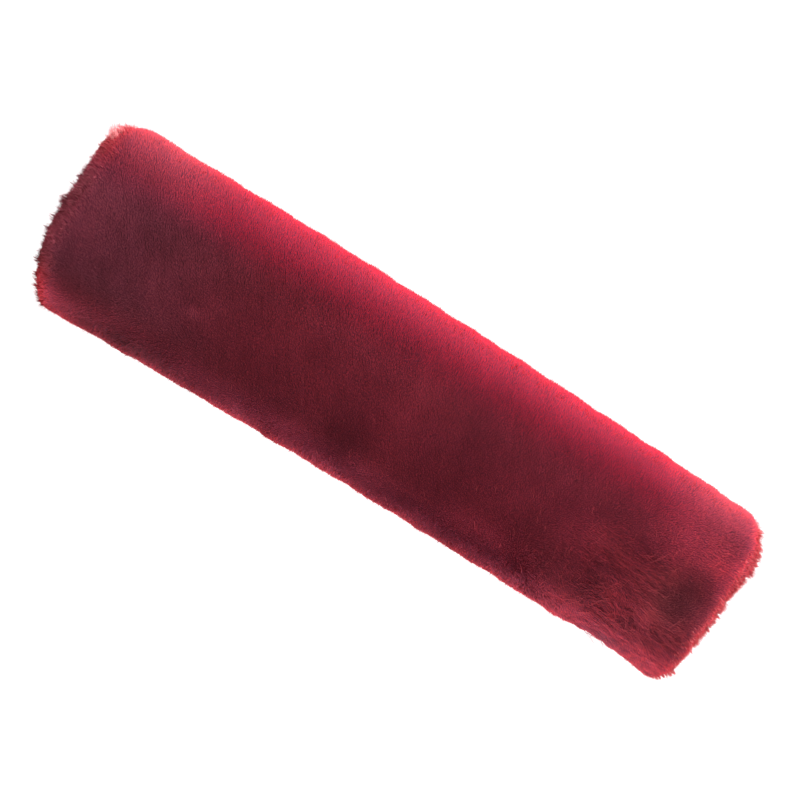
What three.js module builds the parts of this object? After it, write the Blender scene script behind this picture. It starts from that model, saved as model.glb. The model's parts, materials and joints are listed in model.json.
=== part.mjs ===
// A seat belt shoulder pad: a strip of short-clipped, dyed sheepskin wrapped wool side out into a
// flattened tube, and held shut by a hook tape and a loop tape sewn to the flesh side of its long edges.
// Millimetres. +X runs along the belt, +Y across it and +Z up. The pad lies on its closed seam, and the
// origin is under its middle, on the surface that it lies on.

import * as THREE from "three";

// The skin
const SKIN_LENGTH = 268; // cut length along the belt
const SKIN_THICKNESS = 1.3;
const END_FRINGE = 6; // wool standing past each cut end
const END_ROUNDING = 3.7; // how far the wool rounds off there, from both faces of the wall
const BOW = 2.4; // the soft strip lies a little bowed towards +Y

// The channel that the belt runs through, measured inside the skin
const CHANNEL_WIDTH = 52; // a seat belt is 48 mm wide
const CHANNEL_HEIGHT = 9.6;

// The wool outside the skin
const TOP_PILE = 9.2;
const SIDE_PILE = 9.2;
const UNDER_PILE = 7.9; // pressed by the pad's weight
const CROWN_EXPONENT = 2.5; // 2 would be an ellipse, and more is squarer
const REST_WIDTH = 48; // the flat that the pad lies on
const CLUMP_DEPTH = 0.7; // how far the clipped wool dips between its clumps
const CLUMP_LENGTH = 21; // from one clump to the next along the pad
const CLUMP_WIDTH = 15; // and round it

// The two hand-cut ends, seen from above
const NEAR_CORNER_RADIUS = 9; // the +Y corner of the -X end
const WORN_CORNER_DEPTH = 9.5; // the -Y corner there is worn away this far along the pad
const WORN_CORNER_WIDTH = 28; // and this far across it
const NEAR_END_BULGE = 1.3; // the -X end swells in its middle
const NEAR_END_BULGE_HALF_WIDTH = 12;
const FAR_BACK_CORNER_RADIUS = 4; // the +Y corner of the +X end
const FAR_FRONT_CORNER_RADIUS = 7; // and its -Y corner
const FAR_BACK_SLANT = 2.5; // the cut runs back this far at the +Y corner
const FAR_BACK_SLANT_WIDTH = 9.5;
const FAR_FRONT_SLANT = 1.2; // and this far over the -Y half
const FAR_END_LOCK = 3; // one lock stands out of the +X end
const FAR_END_LOCK_AT = 18;
const FAR_END_LOCK_HALF_WIDTH = 4;
const FAR_END_LOCK_TAPER = 6; // the same on its +Y side
const LOCK_REACH = 0.5; // how unevenly the wool's locks stand past both ends
const LOCK_WIDTH = 7.5;
const CORNER_RUN = 30; // the corners' rounding dies out this far from the end

// The closed seam under the pad, where the two long edges of the skin meet
const SEAM_GAP = 0.8;
const PARTING_RADIUS = 4; // the wool rounds off on both sides of the parting

// The tapes
const TAPE_INSET = 4; // from each cut end of the skin
const TAPE_SET_BACK = 2.5; // from the seam's middle to the sewn edge of each tape
const LOOP_TAPE_MARGIN = 0.2; // from the loop tape's far edge to the side bend of the channel
const LOOP_TAPE_THICKNESS = 1.4;
const HOOK_TAPE_THICKNESS = 0.8;
const HOOK_FLANGE_WIDTH = 11; // the part that is sewn down
const HOOK_HEIGHT = 1.0;
const HOOK_STEM = 0.4;
const HOOK_BARB = 0.35; // how far a hook's head stands out from its stem
const HOOK_PITCH = 1.9;

// The sewing
const THREAD_WIDTH = 0.6;
const THREAD_HEIGHT = 0.4;
const THREAD_NECK = 0.12; // what is left of the thread's height where it goes down a needle hole
const STITCH_LENGTH = 5;
const STITCH_MARGIN = 1.2; // from a tape's edge to the middle of the thread

// How finely the wool's surface is divided
const OUTLINE_STEP = 3.2;
const LENGTH_STEP = 6;
const END_SEGMENTS = 4;
const BEND_SEGMENTS = 10; // in each side bend of the channel

// Levels and half widths that follow
const skinUnderside = UNDER_PILE;
const channelFloor = skinUnderside + SKIN_THICKNESS;
const channelMiddle = channelFloor + CHANNEL_HEIGHT / 2;
const channelRoof = channelFloor + CHANNEL_HEIGHT;
const padTop = channelRoof + SKIN_THICKNESS + TOP_PILE;
const halfWidth = CHANNEL_WIDTH / 2 + SKIN_THICKNESS + SIDE_PILE;
const bendRadius = CHANNEL_HEIGHT / 2;
const bendCentre = CHANNEL_WIDTH / 2 - bendRadius;
const halfRest = REST_WIDTH / 2;
const halfGap = SEAM_GAP / 2;
const tapeLength = SKIN_LENGTH - 2 * TAPE_INSET;
const loopFace = channelFloor + LOOP_TAPE_THICKNESS;
const hookTips = loopFace;
const hookTapeUnderside = hookTips + HOOK_HEIGHT;
const loopTapeFarEdge = bendCentre - LOOP_TAPE_MARGIN;
const loopTapeWidth = loopTapeFarEdge - TAPE_SET_BACK;

const woolMaterial = new THREE.MeshStandardMaterial({ color: 0x8a2433, roughness: 0.95, metalness: 0 });
const tapeMaterial = new THREE.MeshStandardMaterial({ color: 0x3a0f18, roughness: 0.8, metalness: 0 });
const hookMaterial = new THREE.MeshStandardMaterial({ color: 0x34101a, roughness: 0.45, metalness: 0 });
const threadMaterial = new THREE.MeshStandardMaterial({ color: 0x5a1622, roughness: 0.6, metalness: 0 });

// Extrudes an outline drawn in (y, z) along X, centred on the origin's plane.
function extrudeAlongPad(outline, length, options = {}) {
  const geometry = new THREE.ExtrudeGeometry(outline, {
    depth: length,
    bevelEnabled: false,
    ...options,
  });
  const toPadAxes = new THREE.Matrix4().makeBasis(
    new THREE.Vector3(0, 1, 0),
    new THREE.Vector3(0, 0, 1),
    new THREE.Vector3(1, 0, 0),
  );
  return geometry.translate(0, 0, -length / 2).applyMatrix4(toPadAxes);
}

// The wool's outer line above the pad's widest level, from +Y over the top to -Y.
function crownPoints() {
  const rise = padTop - channelMiddle;
  const roughLength = 2 * Math.hypot(halfWidth, rise) * 1.15;
  const count = Math.round(roughLength / OUTLINE_STEP);
  const points = [];
  for (let i = 0; i <= count; i++) {
    const turn = (Math.PI * i) / count;
    const across = Math.abs(Math.cos(turn)) ** (2 / CROWN_EXPONENT) * Math.sign(Math.cos(turn));
    const up = Math.sin(turn) ** (2 / CROWN_EXPONENT);
    points.push(new THREE.Vector2(halfWidth * across, channelMiddle + rise * up));
  }
  return points;
}

// One lower corner of the wool, from the flat that the pad lies on to the pad's widest level.
function lowerCornerPoints() {
  const corner = new THREE.EllipseCurve(
    halfRest, channelMiddle, halfWidth - halfRest, channelMiddle, -Math.PI / 2, 0,
  );
  return corner.getPoints(Math.round(corner.getLength() / OUTLINE_STEP));
}

// The rounded parting beside the seam, from the seam out to the flat that the pad lies on.
function partingPoints() {
  const parting = new THREE.EllipseCurve(
    halfGap + PARTING_RADIUS, PARTING_RADIUS, PARTING_RADIUS, PARTING_RADIUS, -Math.PI, -Math.PI / 2,
  );
  return parting.getPoints(4);
}

// The channel's line inside the skin, from the seam on the -Y side round to the seam on the +Y side.
function channelPoints() {
  const left = new THREE.EllipseCurve(
    -bendCentre, channelMiddle, bendRadius, bendRadius, -Math.PI / 2, -1.5 * Math.PI, true,
  );
  const right = new THREE.EllipseCurve(
    bendCentre, channelMiddle, bendRadius, bendRadius, Math.PI / 2, -Math.PI / 2, true,
  );
  return [
    new THREE.Vector2(-halfGap, channelFloor),
    ...left.getPoints(BEND_SEGMENTS),
    ...right.getPoints(BEND_SEGMENTS),
    new THREE.Vector2(halfGap, channelFloor),
  ];
}

function mirrored(points) {
  return points.map((p) => new THREE.Vector2(-p.x, p.y)).reverse();
}

// A smooth rise and fall between -1 and 1, which doesn't repeat along the pad.
function clumps(x, turn) {
  const along = (2 * Math.PI * x) / CLUMP_LENGTH;
  const round = turn * Math.round((2 * (halfWidth + padTop)) / CLUMP_WIDTH / 2);
  const large = Math.sin(along + 1.7 * Math.sin(round)) * Math.cos(round + 0.9 * Math.sin(0.37 * along));
  const small = Math.sin(2.3 * along - 1.1 * Math.cos(round)) * Math.sin(2 * round + 0.61 * along);
  return 0.65 * large + 0.35 * small;
}

// How far one end of the wool is drawn back by its rounded corners, or stands out by its bulge and locks.
function endShift(y, side, inWool) {
  const { clamp, smoothstep } = THREE.MathUtils;
  const farRadius = y < 0 ? FAR_FRONT_CORNER_RADIUS : FAR_BACK_CORNER_RADIUS;
  const radius = side < 0 ? NEAR_CORNER_RADIUS : farRadius;
  const intoCorner = clamp(Math.abs(y) - (halfWidth - radius), 0, radius);
  const rounded = radius - Math.sqrt(radius ** 2 - intoCorner ** 2);
  const intoWorn = clamp((WORN_CORNER_WIDTH - halfWidth - y) / WORN_CORNER_WIDTH, 0, 1);
  const drawnBack = side < 0 && y < 0 ? WORN_CORNER_DEPTH * intoWorn ** 2 : rounded;
  const bulge = NEAR_END_BULGE * Math.exp(-((y / NEAR_END_BULGE_HALF_WIDTH) ** 2));
  const lockHalfWidth = y < FAR_END_LOCK_AT ? FAR_END_LOCK_HALF_WIDTH : FAR_END_LOCK_TAPER;
  const lock = FAR_END_LOCK * Math.exp(-(((y - FAR_END_LOCK_AT) / lockHalfWidth) ** 2));
  const slantFrom = halfWidth - FAR_BACK_SLANT_WIDTH;
  const backSlant = FAR_BACK_SLANT * smoothstep(y, slantFrom, halfWidth - FAR_BACK_CORNER_RADIUS);
  const frontSlant = FAR_FRONT_SLANT * smoothstep(-y, 0, halfWidth / 2);
  const uneven = LOCK_REACH * Math.sin((2 * Math.PI * y) / LOCK_WIDTH + 1.3 * side * Math.sin(0.4 * y));
  return (side < 0 ? bulge : lock - backSlant - frontSlant) + uneven * inWool - drawnBack;
}

// Moves the wool's outer surface in and out by its clumps, bows the strip, and shapes the two cut ends. The
// inside of the skin, the seam and the flat that the pad lies on stay true.
function ruffleWool(geometry) {
  const position = geometry.getAttribute("position");
  const point = new THREE.Vector3();
  const halfLength = SKIN_LENGTH / 2 + END_FRINGE;
  for (let i = 0; i < position.count; i++) {
    point.fromBufferAttribute(position, i);
    const side = Math.sign(point.x);
    const turn = Math.atan2(point.z - channelMiddle, point.y);
    const outY = Math.max(0, Math.abs(point.y) - bendCentre) * Math.sign(point.y);
    const outZ = point.z - channelMiddle;
    const fromChannel = Math.hypot(outY, outZ) - bendRadius;
    const inWool = THREE.MathUtils.smoothstep(fromChannel, SKIN_THICKNESS, SIDE_PILE);
    const aboveRest = THREE.MathUtils.smoothstep(point.z, 0, channelFloor);
    const dip = (CLUMP_DEPTH / 2) * (clumps(point.x, turn) - 1) * inWool * aboveRest;
    const reach = Math.hypot(outY, outZ) || 1;
    const bow = (BOW / 2) * (1 - 2 * (point.x / halfLength) ** 2) * inWool;
    const nearEnd = THREE.MathUtils.smoothstep(Math.abs(point.x), halfLength - CORNER_RUN, halfLength);
    const pastSkin = THREE.MathUtils.smoothstep(Math.abs(point.x), SKIN_LENGTH / 2, halfLength);
    const shift = endShift(point.y, side, inWool);
    position.setXYZ(
      i,
      point.x + side * (shift < 0 ? shift * nearEnd : shift * pastSkin),
      point.y + bow + (dip * outY) / reach,
      point.z + (dip * outZ) / reach,
    );
  }
  geometry.computeVertexNormals();
  return geometry;
}

// Skin and wool together are one piece, the tanned hide with its wool on.
function makeSheepskinWrap() {
  const corner = lowerCornerPoints();
  const parting = partingPoints();
  const crown = crownPoints();
  const outline = new THREE.Shape([
    ...parting,
    ...corner,
    ...crown.slice(1, -1),
    ...mirrored(corner),
    ...mirrored(parting),
    ...channelPoints(),
  ]);
  const geometry = extrudeAlongPad(outline, SKIN_LENGTH, {
    steps: Math.round(SKIN_LENGTH / LENGTH_STEP),
    bevelEnabled: true,
    bevelThickness: END_FRINGE,
    bevelSize: END_ROUNDING,
    bevelOffset: -END_ROUNDING,
    bevelSegments: END_SEGMENTS,
  });
  const wrap = new THREE.Mesh(ruffleWool(geometry), woolMaterial);
  wrap.name = "sheepskin_wrap";
  return wrap;
}

// The loop tape lies on the channel's floor along the +Y edge of the skin.
function makeLoopTape() {
  const geometry = new THREE.BoxGeometry(tapeLength, loopTapeWidth, LOOP_TAPE_THICKNESS);
  const tape = new THREE.Mesh(geometry, tapeMaterial);
  tape.name = "loop_tape";
  tape.position.set(0, TAPE_SET_BACK + loopTapeWidth / 2, channelFloor + LOOP_TAPE_THICKNESS / 2);
  return tape;
}

// One row of hooks hanging under the hook tape: a stem with a barbed head, from its -Y side to its +Y side.
function hookPoints(middle) {
  const headTop = hookTips + HOOK_HEIGHT * 0.4;
  return [
    new THREE.Vector2(middle - HOOK_STEM / 2, hookTapeUnderside),
    new THREE.Vector2(middle - HOOK_STEM / 2, headTop),
    new THREE.Vector2(middle - HOOK_STEM / 2 - HOOK_BARB, headTop - HOOK_HEIGHT * 0.1),
    new THREE.Vector2(middle - HOOK_STEM / 2, hookTips),
    new THREE.Vector2(middle + HOOK_STEM / 2, hookTips),
    new THREE.Vector2(middle + HOOK_STEM / 2 + HOOK_BARB, headTop - HOOK_HEIGHT * 0.1),
    new THREE.Vector2(middle + HOOK_STEM / 2, headTop),
    new THREE.Vector2(middle + HOOK_STEM / 2, hookTapeUnderside),
  ];
}

// The hook tape is sewn down along the -Y edge of the skin, steps up over the seam, and lies hooks down on
// the loop tape.
function makeHookTape() {
  const flangeEdge = -TAPE_SET_BACK - HOOK_FLANGE_WIDTH;
  const hooksFrom = TAPE_SET_BACK + 2 * STITCH_MARGIN + HOOK_PITCH / 2;
  const hooksTo = loopTapeFarEdge - 2 * STITCH_MARGIN - HOOK_PITCH / 2;
  const rows = Math.floor((hooksTo - hooksFrom) / HOOK_PITCH) + 1;
  const underside = [];
  for (let row = 0; row < rows; row++) underside.push(...hookPoints(hooksFrom + row * HOOK_PITCH));
  const step = new THREE.CubicBezierCurve(
    new THREE.Vector2(-TAPE_SET_BACK, channelFloor),
    new THREE.Vector2(0, channelFloor),
    new THREE.Vector2(0, hookTapeUnderside),
    new THREE.Vector2(TAPE_SET_BACK, hookTapeUnderside),
  ).getPoints(6);
  const stepBack = step
    .map((p) => new THREE.Vector2(p.x - HOOK_TAPE_THICKNESS * 0.5, p.y + HOOK_TAPE_THICKNESS))
    .reverse();
  const outline = new THREE.Shape([
    new THREE.Vector2(flangeEdge, channelFloor),
    ...step,
    ...underside,
    new THREE.Vector2(loopTapeFarEdge, hookTapeUnderside),
    new THREE.Vector2(loopTapeFarEdge, hookTapeUnderside + HOOK_TAPE_THICKNESS),
    ...stepBack,
    new THREE.Vector2(flangeEdge, channelFloor + HOOK_TAPE_THICKNESS),
  ]);
  const tape = new THREE.Mesh(extrudeAlongPad(outline, tapeLength), hookMaterial);
  tape.name = "hook_tape";
  return tape;
}

// One row of lockstitch as it shows on a tape: the thread lies flat and dips into a needle hole at each end
// of every stitch.
function makeStitchRow(name, y, level) {
  const count = Math.floor((tapeLength - 2 * STITCH_MARGIN) / STITCH_LENGTH);
  const length = count * STITCH_LENGTH;
  const outline = new THREE.Shape().moveTo(0, 0);
  outline.lineTo(length, 0);
  outline.lineTo(length, THREAD_NECK);
  for (let stitch = count; stitch > 0; stitch--) {
    const from = stitch * STITCH_LENGTH;
    outline.lineTo(from - STITCH_LENGTH * 0.25, THREAD_HEIGHT);
    outline.lineTo(from - STITCH_LENGTH * 0.75, THREAD_HEIGHT);
    outline.lineTo(from - STITCH_LENGTH, THREAD_NECK);
  }
  const geometry = new THREE.ExtrudeGeometry(outline, { depth: THREAD_WIDTH, bevelEnabled: false });
  geometry.translate(-length / 2, 0, -THREAD_WIDTH / 2).rotateX(Math.PI / 2);
  const row = new THREE.Mesh(geometry, threadMaterial);
  row.name = name;
  row.position.set(0, y, level);
  return row;
}

const pad = new THREE.Group();
pad.add(makeSheepskinWrap(), makeLoopTape(), makeHookTape());

const flangeTop = channelFloor + HOOK_TAPE_THICKNESS;
pad.add(
  makeStitchRow("loop_tape_inner_stitches", TAPE_SET_BACK + STITCH_MARGIN, loopFace),
  makeStitchRow("loop_tape_outer_stitches", loopTapeFarEdge - STITCH_MARGIN, loopFace),
  makeStitchRow("hook_tape_inner_stitches", -TAPE_SET_BACK - 2 * STITCH_MARGIN, flangeTop),
  makeStitchRow(
    "hook_tape_outer_stitches", -TAPE_SET_BACK - HOOK_FLANGE_WIDTH + STITCH_MARGIN, flangeTop,
  ),
);

export default pad;
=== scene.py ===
"""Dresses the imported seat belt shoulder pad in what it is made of: dyed, clipped sheepskin with its wool
outside, and the tapes and thread that close it. Millimetres are turned to metres where a mesh is made."""

import json
import math

import bpy
import numpy as np
from mathutils import Matrix, Vector

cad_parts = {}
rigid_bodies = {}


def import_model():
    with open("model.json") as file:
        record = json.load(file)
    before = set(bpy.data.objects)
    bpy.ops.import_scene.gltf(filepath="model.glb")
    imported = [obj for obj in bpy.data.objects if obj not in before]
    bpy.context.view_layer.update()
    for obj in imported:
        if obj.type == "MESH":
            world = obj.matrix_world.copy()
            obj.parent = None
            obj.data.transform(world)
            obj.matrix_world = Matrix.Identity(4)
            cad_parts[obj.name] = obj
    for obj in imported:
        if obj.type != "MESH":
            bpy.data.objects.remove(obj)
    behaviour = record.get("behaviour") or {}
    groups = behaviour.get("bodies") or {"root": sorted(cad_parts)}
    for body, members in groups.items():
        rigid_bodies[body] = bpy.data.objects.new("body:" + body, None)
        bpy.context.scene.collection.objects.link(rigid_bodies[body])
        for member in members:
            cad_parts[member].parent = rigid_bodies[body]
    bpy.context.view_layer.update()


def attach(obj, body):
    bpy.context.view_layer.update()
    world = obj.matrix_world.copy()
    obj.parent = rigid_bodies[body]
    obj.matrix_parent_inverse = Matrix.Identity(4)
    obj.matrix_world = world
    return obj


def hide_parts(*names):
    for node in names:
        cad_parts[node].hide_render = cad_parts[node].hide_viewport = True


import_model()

MM = 0.001

# The sizes that the solids are built from, in millimetres
SKIN_LENGTH = 268.0
SKIN_THICKNESS = 1.3
END_FRINGE = 6.0
BOW = 2.4
CHANNEL_WIDTH = 52.0
CHANNEL_HEIGHT = 9.6
TOP_PILE = 9.2
SIDE_PILE = 9.2
UNDER_PILE = 7.9
CROWN_EXPONENT = 2.5
REST_WIDTH = 48.0
CLUMP_DEPTH = 0.7
CLUMP_LENGTH = 21.0
CLUMP_WIDTH = 15.0
NEAR_CORNER_RADIUS = 9.0
WORN_CORNER_DEPTH = 9.5
WORN_CORNER_WIDTH = 28.0
NEAR_END_BULGE = 1.3
NEAR_END_BULGE_HALF_WIDTH = 12.0
FAR_BACK_CORNER_RADIUS = 4.0
FAR_FRONT_CORNER_RADIUS = 7.0
FAR_BACK_SLANT = 2.5
FAR_BACK_SLANT_WIDTH = 9.5
FAR_FRONT_SLANT = 1.2
FAR_END_LOCK = 3.0
FAR_END_LOCK_AT = 18.0
FAR_END_LOCK_HALF_WIDTH = 4.0
FAR_END_LOCK_TAPER = 6.0
LOCK_REACH = 0.5
LOCK_WIDTH = 7.5
CORNER_RUN = 30.0
SEAM_GAP = 0.8
PARTING_RADIUS = 4.0

SKIN_UNDERSIDE = UNDER_PILE
CHANNEL_FLOOR = SKIN_UNDERSIDE + SKIN_THICKNESS
CHANNEL_MIDDLE = CHANNEL_FLOOR + CHANNEL_HEIGHT / 2
PAD_TOP = CHANNEL_FLOOR + CHANNEL_HEIGHT + SKIN_THICKNESS + TOP_PILE
HALF_WIDTH = CHANNEL_WIDTH / 2 + SKIN_THICKNESS + SIDE_PILE
BEND_RADIUS = CHANNEL_HEIGHT / 2
BEND_CENTRE = CHANNEL_WIDTH / 2 - BEND_RADIUS
HALF_REST = REST_WIDTH / 2
HALF_GAP = SEAM_GAP / 2
HALF_SKIN = SKIN_LENGTH / 2
HALF_LENGTH = HALF_SKIN + END_FRINGE

# The wool as it is drawn: locks of fibres that stand on a surface inside the pile
LOCK_LENGTH = 2.4
TOP_LOCK_SPACING = 0.58
UNDER_LOCK_SPACING = 0.95
UNDER_LOCKS_UP_TO = 5.5  # the underside's coarser locks end this low on the sides, out of sight
END_ONSET = 4.0  # the locks' surface begins to round over this far before the skin's cut edge
END_REACH = 3.6  # goes this far past that edge
END_TURN = 4.0  # and down this far to its furthest place
END_RETURN = 2.2  # the depth of the flatter curve on which it comes back
END_SQUARENESS = 1.5  # it rounds over less at the sides, so that the corners are fuller seen from above
TUFT_SIZE = 1.5  # from one tuft to the next
TUFT_REACH = 0.5  # the longest tuft of the outline stands this much past the shortest
LEAN_ALONG = -0.30  # how far the smooth nap leans along the pad for each millimetre of a lock
LEAN_ROUND = 0.42  # and round it
LINE_STEP = 0.1  # the section's line is worked out in steps of this length
NORMAL_SPAN = 4.0  # and its normals are smoothed over this much of it
BEND_STEPS = 300  # the steps of the skin's line in each side bend
SKIN_STEPS = 241  # the skin's points round the wrap
SKIN_STATIONS = 68  # and along it
SKIN_RIPPLE = 0.12
STRAND_WIDTH = 0.15  # a single fibre, five times as thick as a real one, so that it shows
FUZZ_WIDTH = 0.12  # and one in the fuzz round the outline
POINT_WIDTH = 0.4  # the point of a small tuft there
FUZZ_SHORT_OF = 3.2  # the fuzz at the ends stops this far short of the locks' last row
NAP_TURN = 1.01  # the nap's streaks turn this far from +X, in radians
RUFFLE_TURN = 0.14  # and those of the ruffled wool this far
SOFTNESS = 0.8  # how far the light takes a lock for a piece of one smooth surface, from 0 to 1

# Where the photograph is taken from, in millimetres, and how the camera is turned
CAMERA_PLACE = (-87.0, 61.5, 546.8)
CAMERA_RIGHT = (0.83855, 0.54025, 0.07037)
CAMERA_UP = (-0.52296, 0.83438, -0.17413)
CAMERA_BACK = (-0.15279, 0.10922, 0.98221)
FOCAL_PIXELS = 1500.0
PICTURE_PIXELS = 800.0

# The white table that the pad lies on, in metres
FLOOR_SIZE = 6.0
FLOOR_GAP = 0.0002


def linear(code):
    """A hex colour as linear numbers."""
    values = [int(code[i : i + 2], 16) / 255 for i in (1, 3, 5)]
    return [v / 12.92 if v <= 0.04045 else ((v + 0.055) / 1.055) ** 2.4 for v in values] + [1.0]


def add_node(tree, kind, links=(), **settings):
    """Adds a node with its settings, and sets or links each of its named sockets."""
    made = tree.nodes.new(kind)
    for name, value in settings.items():
        setattr(made, name, value)
    for socket, value in links:
        if isinstance(value, bpy.types.NodeSocket):
            tree.links.new(value, made.inputs[socket])
        else:
            made.inputs[socket].default_value = value
    return made


def empty_material(name):
    material = bpy.data.materials.new(name)
    material.use_nodes = True
    material.node_tree.nodes.clear()
    return material, material.node_tree


def smoothstep(x, low, high):
    t = np.clip((x - low) / (high - low), 0, 1)
    return t * t * (3 - 2 * t)


def field(x, y, cell, seed):
    """A smooth random field from -1 to 1, with one hill or dip to a cell."""
    table = np.random.default_rng(seed).uniform(-1, 1, (128, 128))
    gx, gy = x / cell, y / cell
    ix, iy = np.floor(gx).astype(int), np.floor(gy).astype(int)
    fx, fy = gx - ix, gy - iy
    fx, fy = fx * fx * (3 - 2 * fx), fy * fy * (3 - 2 * fy)
    a = table[ix % 128, iy % 128]
    b = table[(ix + 1) % 128, iy % 128]
    c = table[ix % 128, (iy + 1) % 128]
    d = table[(ix + 1) % 128, (iy + 1) % 128]
    return (a * (1 - fx) + b * fx) * (1 - fy) + (c * (1 - fx) + d * fx) * fy


def hump(x, y, at, half_width, half_height):
    """1 at a place on the pad seen from above, and 0 away from it."""
    return np.exp(-(((x - at[0]) / half_width) ** 2) - ((y - at[1]) / half_height) ** 2)


# The section of the pad


def arc(cy, cz, ry, rz, start, end, count):
    turn = np.radians(np.linspace(start, end, count))
    return np.stack([cy + ry * np.cos(turn), cz + rz * np.sin(turn)], 1)


def length_along(line):
    return np.concatenate([[0], np.cumsum(np.linalg.norm(np.diff(line, axis=0), axis=1))])


def even_steps(line, count):
    along = length_along(line)
    at = np.linspace(0, along[-1], count)
    return np.stack([np.interp(at, along, line[:, k]) for k in (0, 1)], 1)


def outer_line():
    """The wool's outer line, from the seam's +Y side round over the top to its -Y side, in even steps."""
    turn = np.linspace(0, math.pi / 2, 1500)
    rise = PAD_TOP - CHANNEL_MIDDLE
    crown_y = HALF_WIDTH * np.cos(turn) ** (2 / CROWN_EXPONENT)
    crown_z = CHANNEL_MIDDLE + rise * np.sin(turn) ** (2 / CROWN_EXPONENT)
    parting = HALF_GAP + PARTING_RADIUS
    half = np.concatenate(
        [
            [[HALF_GAP, SKIN_UNDERSIDE]],
            arc(parting, PARTING_RADIUS, PARTING_RADIUS, PARTING_RADIUS, -180, -90, 60),
            arc(HALF_REST, CHANNEL_MIDDLE, HALF_WIDTH - HALF_REST, CHANNEL_MIDDLE, -90, 0, 200),
            np.stack([crown_y, crown_z], 1)[1:],
        ]
    )
    full = np.concatenate([half, (half * [-1, 1])[::-1][1:]])
    return even_steps(full, int(length_along(full)[-1] / LINE_STEP))


def outward(line):
    """Unit normals of a line that runs anticlockwise, smoothed over a short stretch of it."""
    slope = np.gradient(line, axis=0)
    half = round(NORMAL_SPAN / LINE_STEP / 2)
    kernel = np.hanning(2 * half + 1)
    kernel = kernel / kernel.sum()
    padded = np.pad(slope, ((half, half), (0, 0)), mode="edge")
    slope = np.stack([np.convolve(padded[:, k], kernel, "valid") for k in (0, 1)], 1)
    slope /= np.linalg.norm(slope, axis=1)[:, None]
    return np.stack([slope[:, 1], -slope[:, 0]], 1)


def skin_line(depth, count):
    """The skin's line at a depth from its wool side, from the seam's +Y side round to its -Y side."""
    radius = BEND_RADIUS + SKIN_THICKNESS - depth
    right = arc(BEND_CENTRE, CHANNEL_MIDDLE, radius, radius, -90, 90, BEND_STEPS)
    left = arc(-BEND_CENTRE, CHANNEL_MIDDLE, radius, radius, 90, 270, BEND_STEPS)
    ends = [[HALF_GAP, SKIN_UNDERSIDE + depth]], [[-HALF_GAP, SKIN_UNDERSIDE + depth]]
    return even_steps(np.concatenate([ends[0], right, left, ends[1]]), count)


OUTER = outer_line()
OUTWARD = outward(OUTER)
ROOTS = OUTER - OUTWARD * LOCK_LENGTH
SKIN = skin_line(0, len(OUTER))
ROUND_AT = length_along(ROOTS)
ROUND = ROUND_AT[-1]

# Along the pad, the locks' surface rounds over at both ends and comes back to the skin's cut edge
END_START = HALF_SKIN - END_ONSET
END_RUN = HALF_SKIN + END_REACH - END_START
END_OVER = arc(0, 0, END_RUN, END_TURN, 90, 0, 60)
END_BACK = arc(0, 0, END_RUN, END_RETURN, 0, -50, 12)
END_PROFILE = np.concatenate([END_OVER, END_BACK[1:]])
END_AT = length_along(END_PROFILE)
END_INWARD = (END_TURN - END_PROFILE[:, 1]) / (END_TURN - END_PROFILE[-1, 1])
HALF_ALONG = END_START + END_AT[-1]


def on_line(s, line):
    return np.stack([np.interp(s, ROUND_AT, line[:, k]) for k in (0, 1)], 1)


def root_surface(p, s):
    """The surface that the locks stand on, at p along the pad and s round it: its points and unit normals."""
    side = np.sign(p)
    past = np.clip(np.abs(p) - END_START, 0, END_AT[-1])
    x = np.minimum(np.abs(p), END_START) + np.interp(past, END_AT, END_PROFILE[:, 0])
    inward = np.interp(past, END_AT, END_INWARD)
    out = on_line(s, OUTWARD)
    inward = inward ** (1 + END_SQUARENESS * out[:, 0] ** 2)
    section = on_line(s, ROOTS)
    section = section + (on_line(s, SKIN) - section) * inward[:, None]
    over = np.clip(past / END_AT[len(END_OVER) - 1], 0, 1) ** 1.4 * math.pi / 2
    normal = np.stack([np.sin(over) * side, out[:, 0] * np.cos(over), out[:, 1] * np.cos(over)], 1)
    point = np.stack([x * side, section[:, 0], section[:, 1]], 1)
    return point, normal / np.linalg.norm(normal, axis=1)[:, None]


# The form that the wool has in the solids, as a move of each point


def clumps(x, turn):
    along = 2 * math.pi * x / CLUMP_LENGTH
    round_it = turn * round(2 * (HALF_WIDTH + PAD_TOP) / CLUMP_WIDTH / 2)
    large = np.sin(along + 1.7 * np.sin(round_it)) * np.cos(round_it + 0.9 * np.sin(0.37 * along))
    small = np.sin(2.3 * along - 1.1 * np.cos(round_it)) * np.sin(2 * round_it + 0.61 * along)
    return 0.65 * large + 0.35 * small


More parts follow.
